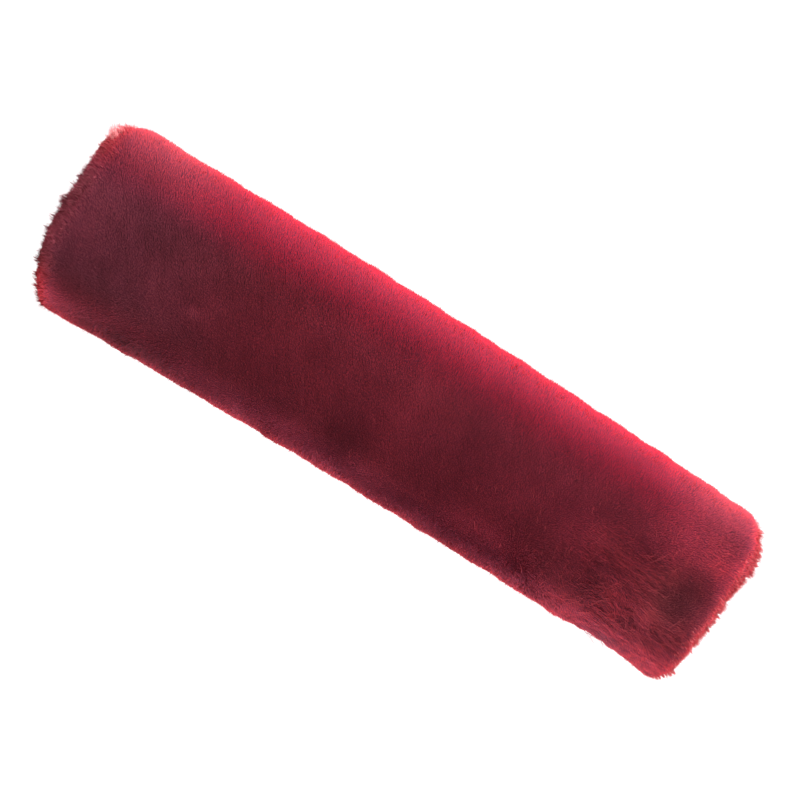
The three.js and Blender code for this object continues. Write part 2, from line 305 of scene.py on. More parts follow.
def end_shift(y, side, in_wool):
    far_radius = np.where(y < 0, FAR_FRONT_CORNER_RADIUS, FAR_BACK_CORNER_RADIUS)
    radius = np.where(side < 0, NEAR_CORNER_RADIUS, far_radius)
    into_corner = np.clip(np.abs(y) - (HALF_WIDTH - radius), 0, radius)
    rounded = radius - np.sqrt(radius**2 - into_corner**2)
    into_worn = np.clip((WORN_CORNER_WIDTH - HALF_WIDTH - y) / WORN_CORNER_WIDTH, 0, 1)
    drawn_back = np.where((side < 0) & (y < 0), WORN_CORNER_DEPTH * into_worn**2, rounded)
    bulge = NEAR_END_BULGE * np.exp(-((y / NEAR_END_BULGE_HALF_WIDTH) ** 2))
    half_width = np.where(y < FAR_END_LOCK_AT, FAR_END_LOCK_HALF_WIDTH, FAR_END_LOCK_TAPER)
    lock = FAR_END_LOCK * np.exp(-(((y - FAR_END_LOCK_AT) / half_width) ** 2))
    slant_from = HALF_WIDTH - FAR_BACK_SLANT_WIDTH
    back_slant = FAR_BACK_SLANT * smoothstep(y, slant_from, HALF_WIDTH - FAR_BACK_CORNER_RADIUS)
    front_slant = FAR_FRONT_SLANT * smoothstep(-y, 0, HALF_WIDTH / 2)
    uneven = LOCK_REACH * np.sin(2 * math.pi * y / LOCK_WIDTH + 1.3 * side * np.sin(0.4 * y))
    return np.where(side < 0, bulge, lock - back_slant - front_slant) + uneven * in_wool - drawn_back


def in_form(points, feet=None):
    """Points of the straight, smooth pad, moved as the solids' wool is. The points of one lock have the same
    foot, so that the shape of the ends moves it as one piece."""
    x, y, z = points.T
    feet = points if feet is None else feet
    side = np.sign(feet[:, 0])
    out_y = np.maximum(0, np.abs(y) - BEND_CENTRE) * np.sign(y)
    out_z = z - CHANNEL_MIDDLE
    from_middle = np.maximum(np.hypot(out_y, out_z), 1e-6)
    in_wool = smoothstep(from_middle - BEND_RADIUS, SKIN_THICKNESS, SIDE_PILE)
    above_rest = smoothstep(z, 0, CHANNEL_FLOOR)
    dip = CLUMP_DEPTH / 2 * (clumps(x, np.arctan2(out_z, y)) - 1) * in_wool * above_rest
    bow = BOW / 2 * (1 - 2 * (x / HALF_LENGTH) ** 2) * in_wool
    near_end = smoothstep(np.abs(feet[:, 0]), HALF_LENGTH - CORNER_RUN, HALF_LENGTH)
    past_skin = smoothstep(np.abs(feet[:, 0]), HALF_SKIN, HALF_LENGTH)
    shift = end_shift(feet[:, 1], side, in_wool)
    return np.stack(
        [
            x + side * np.where(shift < 0, shift * near_end, shift * past_skin),
            y + bow + dip * out_y / from_middle,
            z + dip * out_z / from_middle,
        ],
        1,
    )


# The wool


def to_lock_middle(p, s, cell, seed):
    """From each place to the middle of the lock that it belongs to, along the pad and round it, and a number
    from 0 to 1 that the whole lock shares."""
    table = np.random.default_rng(seed).uniform(0.1, 0.9, (256, 256, 2))
    ip, js = np.floor(p / cell).astype(int), np.floor(s / cell).astype(int)
    nearest = np.full(len(p), 1e9)
    pull = np.zeros((len(p), 2))
    own = np.zeros(len(p))
    for dp in (-1, 0, 1):
        for ds in (-1, 0, 1):
            cp, cs = ip + dp, js + ds
            jitter = table[cp % 256, cs % 256]
            to = np.stack([(cp + jitter[:, 0]) * cell - p, (cs + jitter[:, 1]) * cell - s], 1)
            far = np.linalg.norm(to, axis=1)
            nearer = far < nearest
            nearest[nearer] = far[nearer]
            pull[nearer] = to[nearer]
            own[nearer] = (jitter[nearer, 0] - 0.1) / 0.8
    return pull, own


def ruffled(x, y):
    """Where the wool is longer and ruffled: 0 on the smooth nap, up to 1 towards the +X end."""
    towards_end = smoothstep(x + 6 * field(x, y, 14, 51), 50, 105)
    lower_part = smoothstep(-y + 8 * field(x, y, 12, 52), -12, 12)
    patch = hump(x, y, (126, 16), 12, 8)
    calm = hump(x, y, (124, -4), 11, 10)
    return np.clip((towards_end * (0.2 + 0.8 * lower_part) + 0.4 * patch) * (1 - calm), 0, 1)


def streaks(p, s, turn, length, width, seed):
    """A random field drawn out into streaks, at a turn from +X towards round the pad."""
    along = p * math.cos(turn) + s * math.sin(turn)
    beside = s * math.cos(turn) - p * math.sin(turn)
    return field(along * width / length, beside, width, seed)


# Patches that look lighter or darker than the wool round them, set to come near the photograph: the middle,
# the half width, the half height and how much lighter
# Partly painted light and shade, partly the wool's own patchy tone
PATCHES = (
    (-105, 22, 24, 6, 0.45),
    (-102, 5, 15, 10, -0.16),
    (-112, -12, 14, 9, -0.2),
    (-97, -30, 26, 5, -1.0),
    (80, -27, 10, 4, -0.25),
    (108, -28, 10, 4, -0.25),
    (-83, -9.5, 3.5, 2.2, 0.45),
    (-30, 8, 22, 7, 0.15),
    (-60, 22, 12, 6, 0.1),
    (60, 4, 24, 14, 0.35),
    (5, 0, 22, 14, 0.15),
    (72, -2, 9, 8, 0.3),
    (42, -23, 20, 6, 0.95),
    (34, -11, 13, 6, 0.2),
    (-50, 16, 9, 5, -0.2),
    (-20, -26, 36, 4, 0.15),
    (-134, -31, 5, 4, 0.15),
    (-122, -25, 10, 6, -0.3),
    (-95, 15, 18, 8, -0.15),
    (-130, 12, 12, 10, 0.15),
    (108, -17, 12, 6, 0.4),
    (112, 15, 14, 9, 0.9),
    (131, 8, 5, 6, 0.5),
    (124, 13, 10, 7, 0.3),
    (128, 18, 6, 7, 0.35),
    (129, -4, 4, 5, 0.4),
    (136, 14, 5, 12, 0.9),
    (136, -4, 5, 16, 0.8),
    (120, 29, 16, 6, 0.1),
)


def rim(p, run):
    """0 along the pad, rising to 1 over a run at both cut ends."""
    return smoothstep(np.abs(p), END_START + 1, END_START + 1 + run)


def tone_and_painted_light(p, s, foot):
    """How light the wool is drawn from place to place, next to its mean: a random tone, painted light where
    it rounds the long edges and at the +X end, painted shade at the -X end, listed patches that are partly
    painted light and shade, and streaked where it is ruffled."""
    x, y = foot[:, 0], foot[:, 1]
    ruffle = ruffled(x, y)
    light = 1 + 0.08 * field(p, s, 15, 61) + 0.06 * field(p, s, 5, 64)
    light += 0.07 * streaks(p, s, NAP_TURN, 8, 1.3, 62)
    # Painted highlights along both long edges, where the lamps' light falls as the wool rounds them
    light += 0.4 * hump(0 * y, y, (0, 30), 1, 7) + 0.75 * hump(0 * y, y, (0, -29), 1, 5)
    light += ruffle * (0.2 * streaks(p, s, RUFFLE_TURN, 7, 1.0, 63) - 0.2)
    for across, up, half_width, half_height, lighter in PATCHES:
        light += lighter * hump(x, y, (across, up), half_width, half_height)
    # A painted highlight on the outermost rim of the long edges
    light += 0.2 * smoothstep(np.abs(y), 32, 34)
    at_end = rim(p, 7)
    # Painted light at the +X end's rim and painted shade at the -X end's
    light += at_end * np.where(x > 0, 0.2, -0.25)
    return np.clip(light, 0.4, 2.0 - 0.6 * at_end)


def dullness(x, y):
    """How much greyer the wool's colour is made towards the -X end and in a patch near the +X end, less how
    much more saturated it is painted along the +Y side, where the lamps' light falls."""
    near_end = 0.09 * smoothstep(-x, 50, 120) * smoothstep(-y, -24, -10) * smoothstep(y, -28, -16)
    # Painted light: the colour is made more saturated along the +Y side, where the lamps' light falls
    lit_side_saturation = 0.06 * smoothstep(y, 10, 26) * smoothstep(-np.abs(x), -120, -85)
    return near_end - lit_side_saturation + 0.08 * hump(x, y, (121, -6), 12, 12)


def hue(x, y):
    """The dye's hue, where 0.5 leaves it as it is: a little more purple on top towards the -X end."""
    return 0.5 - 0.01 * smoothstep(-x, 60, 120) * smoothstep(-np.abs(y), -26, -14)


def directions(normal):
    """Along the pad and round it, in the wool's surface."""
    along = np.zeros_like(normal)
    along[:, 0] = 1.0
    along -= normal * (along * normal).sum(1)[:, None]
    size = np.linalg.norm(along, axis=1)[:, None]
    along = np.where(size > 0.05, along / np.maximum(size, 1e-6), 0.0)
    return along, np.cross(normal, along)


def reach(x, y):
    """How much longer the wool is here than the solids' outline has it, or shorter."""
    sides = 0.6 * smoothstep(y, 27, 34) - 0.6 * smoothstep(-y, 26, 33)
    sides += 0.9 * hump(x, y, (-129, 36), 6, 6) - 2.4 * hump(x, y, (-138, 33), 6, 5)
    sides -= 1.9 * hump(x, y, (106, -33), 11, 8)
    return sides - 1.9 * smoothstep(x, END_START + 2, END_START + 7)


def tufts(p, s, foot):
    """How the wool gathers in small tufts round the outline, most of all at the cut ends: a move along and
    round, and how much longer each tuft is than its neighbours."""
    at_end = rim(p, 5)
    edge = smoothstep(np.abs(foot[:, 1]), 31, 35) * (1 - at_end)
    pull, own = to_lock_middle(p, s, TUFT_SIZE, 43)
    return pull * (at_end + 0.4 * edge)[:, None], own * (at_end + 0.6 * edge)


def lock_tips(p, s, foot, normal, rng):
    """Where each lock ends: out by its length, and leaning with the nap."""
    along, across = directions(normal)
    x, y = foot[:, 0], foot[:, 1]
    ruffle = ruffled(x, y)
    # One lock in a hundred stands out of the nap
    stray = (rng.uniform(0, 1, len(p)) > 0.99) * rng.uniform(0.3, 1.0, len(p))
    uneven = 0.25 + 0.45 * field(p, s, 2.5, 22) + 0.4 * streaks(p, s, RUFFLE_TURN, 7, 1.2, 23)
    gathered, longer = tufts(p, s, foot)
    length = LOCK_LENGTH + rng.normal(0, 0.06, len(p)) + stray + ruffle * uneven
    length = np.maximum(length + reach(x, y) + TUFT_REACH * longer, 0.2)
    lean_p = LEAN_ALONG + 0.12 * field(p, s, 16, 31) + rng.normal(0, 0.06, len(p))
    lean_s = LEAN_ROUND + 0.12 * field(p, s, 13, 32) + rng.normal(0, 0.06, len(p))
    lean_p = lean_p + ruffle * (1.0 + 0.35 * field(p, s, 8.0, 33))
    lean_s = lean_s + ruffle * (-0.45 + 0.45 * field(p, s, 6.0, 34))
    pull = to_lock_middle(p, s, TUFT_SIZE, 41)[0] * (0.08 * (1 - ruffle))[:, None] + 0.35 * gathered
    pull[:, 1] += to_lock_middle(p / 4, s, TUFT_SIZE, 42)[0][:, 1] * 0.35 * ruffle
    return (
        foot
        + normal * length[:, None]
        + along * (lean_p * length + pull[:, 0])[:, None]
        + across * (lean_s * length + pull[:, 1])[:, None]
    )


def lattice(s_from, s_to, spacing, rng):
    """A sheet of near-equilateral triangles over one band of the wool: places along and round, the faces, and
    the numbers of the places row by row."""
    rows = max(2, round((s_to - s_from) / (spacing * math.sqrt(3) / 2))) + 1
    columns = round(2 * HALF_ALONG / spacing) + 1
    step_p = 2 * HALF_ALONG / (columns - 1)
    step_s = (s_to - s_from) / (rows - 1)
    j, i = np.meshgrid(np.arange(rows), np.arange(columns), indexing="ij")
    inner = (j > 0) & (j < rows - 1) & (i > 0) & (i < columns - 1)
    p = -HALF_ALONG + (i + (j % 2) / 2) * step_p + rng.uniform(-0.25, 0.25, j.shape) * step_p * inner
    s = s_from + j * step_s + rng.uniform(-0.25, 0.25, j.shape) * step_s * inner
    p = np.clip(p, -HALF_ALONG, HALF_ALONG)
    index = j * columns + i
    even = (j[:-1, :-1] % 2 == 0)[..., None]
    a, b, c, d = index[:-1, :-1], index[:-1, 1:], index[1:, :-1], index[1:, 1:]
    lower = np.where(even, np.stack([a, c, b], -1), np.stack([a, d, b], -1))
    upper = np.where(even, np.stack([b, c, d], -1), np.stack([a, c, d], -1))
    return p.ravel(), s.ravel(), np.concatenate([lower.reshape(-1, 3), upper.reshape(-1, 3)]), index


def closing_faces(index):
    """Faces that close a band: on the skin, where both its ends lie, and down to it along both long edges."""
    near, far = index[:, 0], index[:, -1]
    first, last = index[0], index[-1]
    first_corner, last_corner = (np.full(len(row) - 2, row[0]) for row in (first, last))
    return np.concatenate(
        [
            np.stack([near[:-1], far[:-1], near[1:]], 1),
            np.stack([far[:-1], far[1:], near[1:]], 1),
            np.stack([first_corner, first[1:-1], first[2:]], 1),
            np.stack([last_corner, last[2:], last[1:-1]], 1),
        ]
    )


def mesh_object(name, verts, faces):
    """A mesh of triangles from points in millimetres."""
    mesh = bpy.data.meshes.new(name)
    mesh.vertices.add(len(verts))
    mesh.vertices.foreach_set("co", (verts * MM).ravel())
    mesh.loops.add(len(faces) * 3)
    mesh.loops.foreach_set("vertex_index", faces.ravel().astype(np.int32))
    mesh.polygons.add(len(faces))
    mesh.polygons.foreach_set("loop_start", np.arange(0, len(faces) * 3, 3, dtype=np.int32))
    mesh.polygons.foreach_set("use_smooth", np.zeros(len(faces), dtype=bool))
    mesh.update(calc_edges=True)
    made = bpy.data.objects.new(name, mesh)
    bpy.context.collection.objects.link(made)
    return made


def shade_softly(made, verts, faces, lock_count, outward_at):
    """Turns the faces of the locks, which come first, part of the way outwards for the light, because a lock
    is a bundle of fine fibres and not a hard facet."""
    a, b, c = (verts[faces[:, k]] for k in range(3))
    facing = np.cross(b - a, c - a)
    facing /= np.maximum(np.linalg.norm(facing, axis=1), 1e-9)[:, None]
    softness = np.where(np.arange(len(faces)) < lock_count, SOFTNESS, 0)[:, None, None]
    turned = facing[:, None, :] * (1 - softness) + outward_at[faces] * softness
    turned /= np.linalg.norm(turned, axis=2)[:, :, None]
    normals = made.data.attributes.new("custom_normal", "FLOAT_VECTOR", "CORNER")
    normals.data.foreach_set("vector", turned.ravel())


def note_values(made, name, values):
    made.data.attributes.new(name, "FLOAT", "POINT").data.foreach_set("value", values)


def lay_flat(made, p, s, faces, hidden_count, s_from, s_to):
    """The band's bake map: the band cut across into pieces that are stacked to fill the square, and its
    hidden faces, which come last, in a row along the square's lower edge."""
    cuts = max(1, round(math.sqrt(2 * HALF_ALONG / (s_to - s_from))))
    margin = 0.04
    along = (p + HALF_ALONG) / (2 * HALF_ALONG) * cuts
    round_it = (s - s_from) / (s_to - s_from)
    piece = np.clip(np.floor(along[faces].mean(1)), 0, cuts - 1)[:, None]
    u = margin / 2 + (along[faces] - piece) * (1 - margin)
    v = (piece + margin / 2 + round_it[faces] * (1 - margin)) / cuts
    locks = np.clip(np.stack([u, v], -1), 0, 1)
    hidden_u = (np.arange(hidden_count)[:, None] + [0.1, 0.9, 0.5]) / hidden_count
    hidden_v = np.tile([0.1, 0.1, 0.8], (hidden_count, 1)) * margin / 2 / cuts
    uv = made.data.uv_layers.new(name="OFBake")
    uv.data.foreach_set("uv", np.concatenate([locks, np.stack([hidden_u, hidden_v], -1)]).ravel())


def wool_band(name, s_from, s_to, spacing, seed, wool):
    """One band of wool along the pad: a fine sheet of triangles, each drawn out into a tapering lock, and
    closed on its hidden side. At the cut ends the locks are painted lighter down to their roots, a painted
    rim light."""
    rng = np.random.default_rng(seed)
    p, s, base, index = lattice(s_from, s_to, spacing, rng)
    mid_p, mid_s = p[base].mean(1), s[base].mean(1)
    roots, root_normal = root_surface(p, s)
    foot, normal = root_surface(mid_p, mid_s)
    tips = lock_tips(mid_p, mid_s, foot, normal, rng)
    verts = in_form(np.concatenate([roots, tips]), np.concatenate([roots, foot]))
    verts[:, 2] = np.maximum(verts[:, 2], 0.0)
    tip_index = len(roots) + np.arange(len(base))
    locks = np.concatenate([np.stack([base[:, k], base[:, (k + 1) % 3], tip_index], 1) for k in range(3)])
    hidden = closing_faces(index)
    faces = np.concatenate([locks, hidden])
    band = mesh_object(name, verts, faces)
    shade_softly(band, verts, faces, len(locks), np.concatenate([root_normal, normal]))
    # Painted rim light: the roots at the cut ends take a lighter colour from further up the ramp
    painted_rim_light = 0.45 * rim(p, 7)
    note_values(band, "tip", np.concatenate([painted_rim_light, np.ones(len(tips))]))
    own = np.concatenate([np.ones(len(roots)), rng.uniform(0.9, 1.1, len(tips))])
    light = np.concatenate([tone_and_painted_light(p, s, roots), tone_and_painted_light(mid_p, mid_s, foot)])
    note_values(band, "tone_and_painted_light", own * light)
    note_values(band, "saturation", 1 - dullness(verts[:, 0], verts[:, 1]))
    note_values(band, "hue", hue(verts[:, 0], verts[:, 1]))
    all_p, all_s = np.concatenate([p, mid_p]), np.concatenate([s, mid_s])
    lay_flat(band, all_p, all_s, locks, len(hidden), s_from, s_to)
    band.data.materials.append(wool)
    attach(band, "root")
    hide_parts("sheepskin_wrap")


def strands(name, start, way, bend, length, light, width, ring_count, shade, tip_paleness, wool):
    """Single fibres: thin, three-sided and pointed, from their starts along a way that bends. The shade is
    how far towards a lock's tip their colour starts, and the tip paleness is how much paler their tips are
    made."""
    count = len(start)
    steps = np.linspace(0, 1, ring_count + 1)[:-1]
    side = np.cross(way, [0.31, 0.27, 0.91])
    side /= np.linalg.norm(side, axis=1)[:, None]
    other = np.cross(way, side)
    other /= np.linalg.norm(other, axis=1)[:, None]
    rings = []
    for t in steps:
        middle = start + (way * t + bend * t * t) * length[:, None]
        radius = (width / 2 * (1 - t * t))[:, None]
        for turn in np.radians([0, 120, 240]):
            rings.append(middle + (side * math.cos(turn) + other * math.sin(turn)) * radius)
    rings.append(start + (way + bend) * length[:, None])
    verts = in_form(np.stack(rings, 1).reshape(-1, 3), np.repeat(start, len(rings), axis=0))
    verts[:, 2] = np.maximum(verts[:, 2], 0.0)
    one = [[0, 2, 1]]
    for ring in range(ring_count):
        for k in range(3):
            a, b = 3 * ring + k, 3 * ring + (k + 1) % 3
            if ring == ring_count - 1:
                one.append([a, b, 3 * ring_count])
            else:
                one += [[a, b, b + 3], [a, b + 3, a + 3]]
    one = np.array(one)
    points = 3 * ring_count + 1
    faces = (one[None] + points * np.arange(count)[:, None, None]).reshape(-1, 3)
    made = mesh_object(name, verts, faces)
    at = np.append(np.repeat(steps, 3), 1.0)
    note_values(made, "tip", np.tile(shade + (1 - shade) * at, count))
    note_values(made, "tone_and_painted_light", np.repeat(light, points))
    paler = tip_paleness * (0.5 + 0.5 * np.tile(at, count))
    note_values(made, "saturation", 1 - dullness(verts[:, 0], verts[:, 1]) - paler)
    note_values(made, "hue", hue(verts[:, 0], verts[:, 1]))
    cells = math.ceil(math.sqrt(count))
    cell = np.repeat(np.arange(count), len(one))[:, None]
    across = np.append(np.tile([0.1, 0.5, 0.9], ring_count), 0.5)[one]
    u = (cell % cells + np.tile(across, (count, 1))) / cells
    v = (cell // cells + 0.05 + 0.9 * np.tile(at[one], (count, 1))) / cells
    uv = made.data.uv_layers.new(name="OFBake")
    uv.data.foreach_set("uv", np.stack([u, v], -1).ravel())
    made.data.materials.append(wool)
    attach(made, "root")
    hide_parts("sheepskin_wrap")


def round_to(y):
    """How far round the wool's surface a place y across the pad's top lies."""
    top = ROOTS[:, 1] > CHANNEL_MIDDLE
    return np.interp(-y, -ROOTS[top, 0], ROUND_AT[top])


def loose_fibres(wool):
    """Long fibres that have come out of the nap and lie over it, most of them where the wool is ruffled."""
    rng = np.random.default_rng(300)
    tries = 9000
    x = rng.uniform(-132, 130, tries)
    y = rng.uniform(-33, 33, tries)
    kept = rng.uniform(0, 1, tries) < 0.02 + 0.2 * ruffled(x, y)
    p, s = x[kept], round_to(y[kept])
    foot, normal = root_surface(p, s)
    along, across = directions(normal)
    ruffle = ruffled(foot[:, 0], foot[:, 1])[:, None]
    turn = 0.8 * field(p, s, 9, 301)[:, None] + rng.normal(0, 0.25, (len(p), 1))
    combed = along * np.cos(turn) + across * np.sin(turn)
    nap = along * -0.5 + across * 0.85
    flat = combed * ruffle + nap * (1 - ruffle)
    flat /= np.linalg.norm(flat, axis=1)[:, None]
    start = foot + normal * (LOCK_LENGTH - 0.5)
    way = flat + normal * 0.34
    bend = np.cross(normal, flat) * rng.normal(0, 0.2, (len(p), 1))
    bend -= normal * rng.uniform(0.2, 0.34, (len(p), 1))
    length = rng.uniform(1.5, 3.5, len(p)) + 5.5 * ruffle[:, 0] * rng.uniform(0.2, 1, len(p))
    light = tone_and_painted_light(p, s, foot) * (rng.uniform(0.5, 0.8, len(p)) + 0.3 * ruffle[:, 0])
    width = np.full(len(p), STRAND_WIDTH)
    strands("loose_fibres", start, way, bend, length, light, width, 4, 0.7, 0.05, wool)


def fuzz(name, p, s, longest, lighter, tip_paleness, seed, wool):
    """Short fine fibres that stand out of the wool, and among them the points of small tufts, which are
    thicker. Each is drawn in to the middle of the tuft that it belongs to."""
    rng = np.random.default_rng(seed)
    foot, normal = root_surface(p, s)
    along, across = directions(normal)
    gathered, longer = tufts(p, s, foot)
    locks = LOCK_LENGTH + reach(foot[:, 0], foot[:, 1]) + TUFT_REACH * longer
    locks = np.maximum(locks, 0.4)
    width = np.where(rng.uniform(0, 1, len(p)) < 0.2, POINT_WIDTH, FUZZ_WIDTH)
    past_locks = longest * (0.1 + longer) * rng.uniform(0.4, 1.1, len(p))
    bent = 0.5 * np.stack([field(p, s, 3, seed + 1), field(p, s, 3, seed + 2)], 1)
    lean = 0.85 * gathered + bent + rng.normal(0, 0.1, (len(p), 2))
    tip = normal * (0.6 * locks + past_locks)[:, None] + along * lean[:, :1] + across * lean[:, 1:]
    length = np.linalg.norm(tip, axis=1)
    start = foot + normal * (0.4 * locks)[:, None]
    lighter = lighter + (1 - lighter) * smoothstep(foot[:, 1], 22, 32)
    light = np.minimum(tone_and_painted_light(p, s, foot) * rng.uniform(0.85, 1.15, len(p)) * lighter, 1.5)
    bend = rng.normal(0, 0.08, tip.shape)
    strands(name, start, tip / length[:, None], bend, length, light, width, 2, 0.75, tip_paleness, wool)


def edge_fuzz(wool):
    """The fuzzy outline: longest at the cut ends, and short along the sides."""
    rng = np.random.default_rng(310)
    top, low = round_to(0.0), round_to(35.0)
    span = top - low + 7
    furthest = HALF_ALONG - FUZZ_SHORT_OF - END_START
    # Painted light at the +X end: its fuzz is made lighter and paler, for the glow of fibres lit from behind;
    # at the -X end the fuzz is made darker, painted shade
    ends = (("end_fuzz_right", 1, 3500, 2.8, 1.2, 0.18), ("end_fuzz_left", -1, 2500, 2.2, 0.58, 0.05))
    for name, side, count, longest, lighter, tip_paleness in ends:
        # They get sparser away from the end, so that the fuzz has no border on the nap
        p = side * (END_START + furthest * rng.uniform(0.02, 1, count) ** 0.36)
        s = top + rng.uniform(-span, span, count)
        fuzz(name, p, s, longest, lighter, tip_paleness, 320 + side, wool)
    count = 7000
    p = rng.uniform(-134, 134, count)
    s = top + np.where(rng.uniform(0, 1, count) < 0.55, -1, 1) * (top - low + rng.uniform(-7, 3, count))
    fuzz("side_fuzz", p, s, 0.9, 1.0, 0.15, 340, wool)


def corner_tuft(wool):
    """A pale tuft that stands out at the +Y corner of the -X end."""
    rng = np.random.default_rng(350)
    count = 120
    y = 30.5 + rng.normal(0, 1.2, count)
    foot, normal = root_surface(rng.uniform(-138.5, -136, count), round_to(y))
    way = np.array([-0.7, 0.68, 0.12]) + rng.normal(0, 0.07, (count, 3))
    bend = rng.normal(0, 0.1, (count, 3))
    length = rng.uniform(4.0, 8.0, count)
    light = np.full(count, 1.6)
    width = np.full(count, STRAND_WIDTH)
    strands("corner_tuft", foot, way, bend, length, light, width, 2, 0.9, 0.4, wool)


def wool_material():
    """Clipped sheepskin wool, dyed burgundy: matt and soft, its colour running from a dark painted shade at
    the locks' roots, for the shade down between the fibres, to light red at their tips, no two fibres quite
    alike."""
    material, tree = empty_material("dyed_sheepskin_wool")
    tip = add_node(tree, "ShaderNodeAttribute", attribute_name="tip")
    tone_and_painted_light = add_node(tree, "ShaderNodeAttribute", attribute_name="tone_and_painted_light")
    dye = add_node(tree, "ShaderNodeValToRGB", [("Fac", tip.outputs["Fac"])])
    ramp = dye.color_ramp
    # The ramp's dark root end is painted shade for the depth between the fibres
    ramp.elements[0].position, ramp.elements[0].color = 0.0, linear("#441a28")
    ramp.elements[1].position, ramp.elements[1].color = 1.0, linear("#dc3f48")
    middle = ramp.elements.new(0.6)
    middle.color = linear("#68283d")
    saturation = add_node(tree, "ShaderNodeAttribute", attribute_name="saturation")
    shift = add_node(tree, "ShaderNodeAttribute", attribute_name="hue")
    fibre = add_node(
        tree,
        "ShaderNodeHueSaturation",
        [
            ("Color", dye.outputs["Color"]),
            ("Hue", shift.outputs["Fac"]),
            ("Value", tone_and_painted_light.outputs["Fac"]),
            ("Saturation", saturation.outputs["Fac"]),
        ],
    )
    shader = add_node(
        tree,
        "ShaderNodeBsdfPrincipled",
        [
            ("Base Color", fibre.outputs["Color"]),
            ("Roughness", 0.75),
            ("Specular IOR Level", 0.2),
            ("Sheen Weight", 0.2),
            ("Sheen Roughness", 0.5),
            ("Sheen Tint", linear("#f06e6c")),
        ],
    )
    add_node(tree, "ShaderNodeOutputMaterial", [("Surface", shader.outputs["BSDF"])])
    return material


def make_wool():
    wool = wool_material()
    above = np.where((ROOTS[:, 1] > UNDER_LOCKS_UP_TO) & (ROOTS[:, 0] > HALF_REST))[0]
    top_from = ROUND_AT[above[0]]
    top_to = ROUND - top_from
    edges = np.linspace(top_from, top_to, 5)
    for k, name in enumerate(["wool_back_side", "wool_back", "wool_front", "wool_front_side"]):
        wool_band(name, edges[k], edges[k + 1], TOP_LOCK_SPACING, 100 + k, wool)
    wool_band("wool_under_back", 0, top_from, UNDER_LOCK_SPACING, 200, wool)
    wool_band("wool_under_front", top_to, ROUND, UNDER_LOCK_SPACING, 201, wool)
    loose_fibres(wool)
    edge_fuzz(wool)
    corner_tuft(wool)


# The skin and what closes it


def make_skin():
    """The tanned skin that carries the wool: one strip, wrapped flesh side in, with its cut edges at the seam
    and at both ends."""
    ring = np.concatenate([skin_line(0, SKIN_STEPS), skin_line(SKIN_THICKNESS, SKIN_STEPS)[::-1]])
    stations = np.linspace(-HALF_SKIN, HALF_SKIN, SKIN_STATIONS)
    around = len(ring)
    verts = np.empty((SKIN_STATIONS, around, 3))
    verts[:, :, 0] = stations[:, None]
    verts[:, :, 1:] = ring[None]
    along = verts[..., 0].ravel()
    ripple = SKIN_RIPPLE * field(along, np.tile(np.arange(around) * 1.0, SKIN_STATIONS), 9, 71)
    verts = in_form(verts.reshape(-1, 3))
    verts[:, 2] += ripple
    index = np.arange(SKIN_STATIONS * around).reshape(SKIN_STATIONS, around)
    nearer, further = index[:-1], index[1:]
    turned = np.roll(index, -1, 1)
    a, b, c, d = nearer, further, turned[1:], turned[:-1]
    faces = [np.stack([a, c, b], -1).reshape(-1, 3), np.stack([a, d, c], -1).reshape(-1, 3)]
    outer = np.arange(SKIN_STEPS)
    inner = around - 1 - outer
    for end, flip in ((0, 1), (SKIN_STATIONS - 1, -1)):
        q = index[end]
        one = np.stack([q[outer[:-1]], q[inner[:-1]], q[outer[1:]]], -1)
        two = np.stack([q[outer[1:]], q[inner[:-1]], q[inner[1:]]], -1)
        faces += [one[:, ::flip], two[:, ::flip]]
    skin = mesh_object("skin", verts, np.concatenate(faces))
    skin.data.materials.append(skin_material())
    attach(skin, "root")
    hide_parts("sheepskin_wrap")


def skin_material():
    """Tanned sheepskin, flesh side: buffed to a short suede nap, dyed through, so it is matt and a little
    cloudy, with the shade of the dye moving from place to place."""
    material, tree = empty_material("sueded_sheepskin")
    place = add_node(tree, "ShaderNodeTexCoord")
    cloud = add_node(
        tree,
        "ShaderNodeTexNoise",
        [("Vector", place.outputs["Object"]), ("Scale", 1 / (12 * MM)), ("Detail", 4.0)],
    )
    dye = add_node(tree, "ShaderNodeValToRGB", [("Fac", cloud.outputs["Fac"])])
    dye.color_ramp.elements[0].position, dye.color_ramp.elements[0].color = 0.3, linear("#7c2b36")
    dye.color_ramp.elements[1].position, dye.color_ramp.elements[1].color = 0.7, linear("#a04a50")
    nap = add_node(
        tree,
        "ShaderNodeTexNoise",
        [("Vector", place.outputs["Object"]), ("Scale", 1 / (0.35 * MM)), ("Detail", 3.0)],
    )
    bump = add_node(
        tree,
        "ShaderNodeBump",
        [("Height", nap.outputs["Fac"]), ("Distance", 0.12 * MM), ("Strength", 0.8)],
    )
    shader = add_node(
        tree,
        "ShaderNodeBsdfPrincipled",
        [
            ("Base Color", dye.outputs["Color"]),
            ("Roughness", 0.9),
            ("Specular IOR Level", 0.2),
            ("Sheen Weight", 0.2),
            ("Normal", bump.outputs["Normal"]),
        ],
    )
    add_node(tree, "ShaderNodeOutputMaterial", [("Surface", shader.outputs["BSDF"])])
    return material


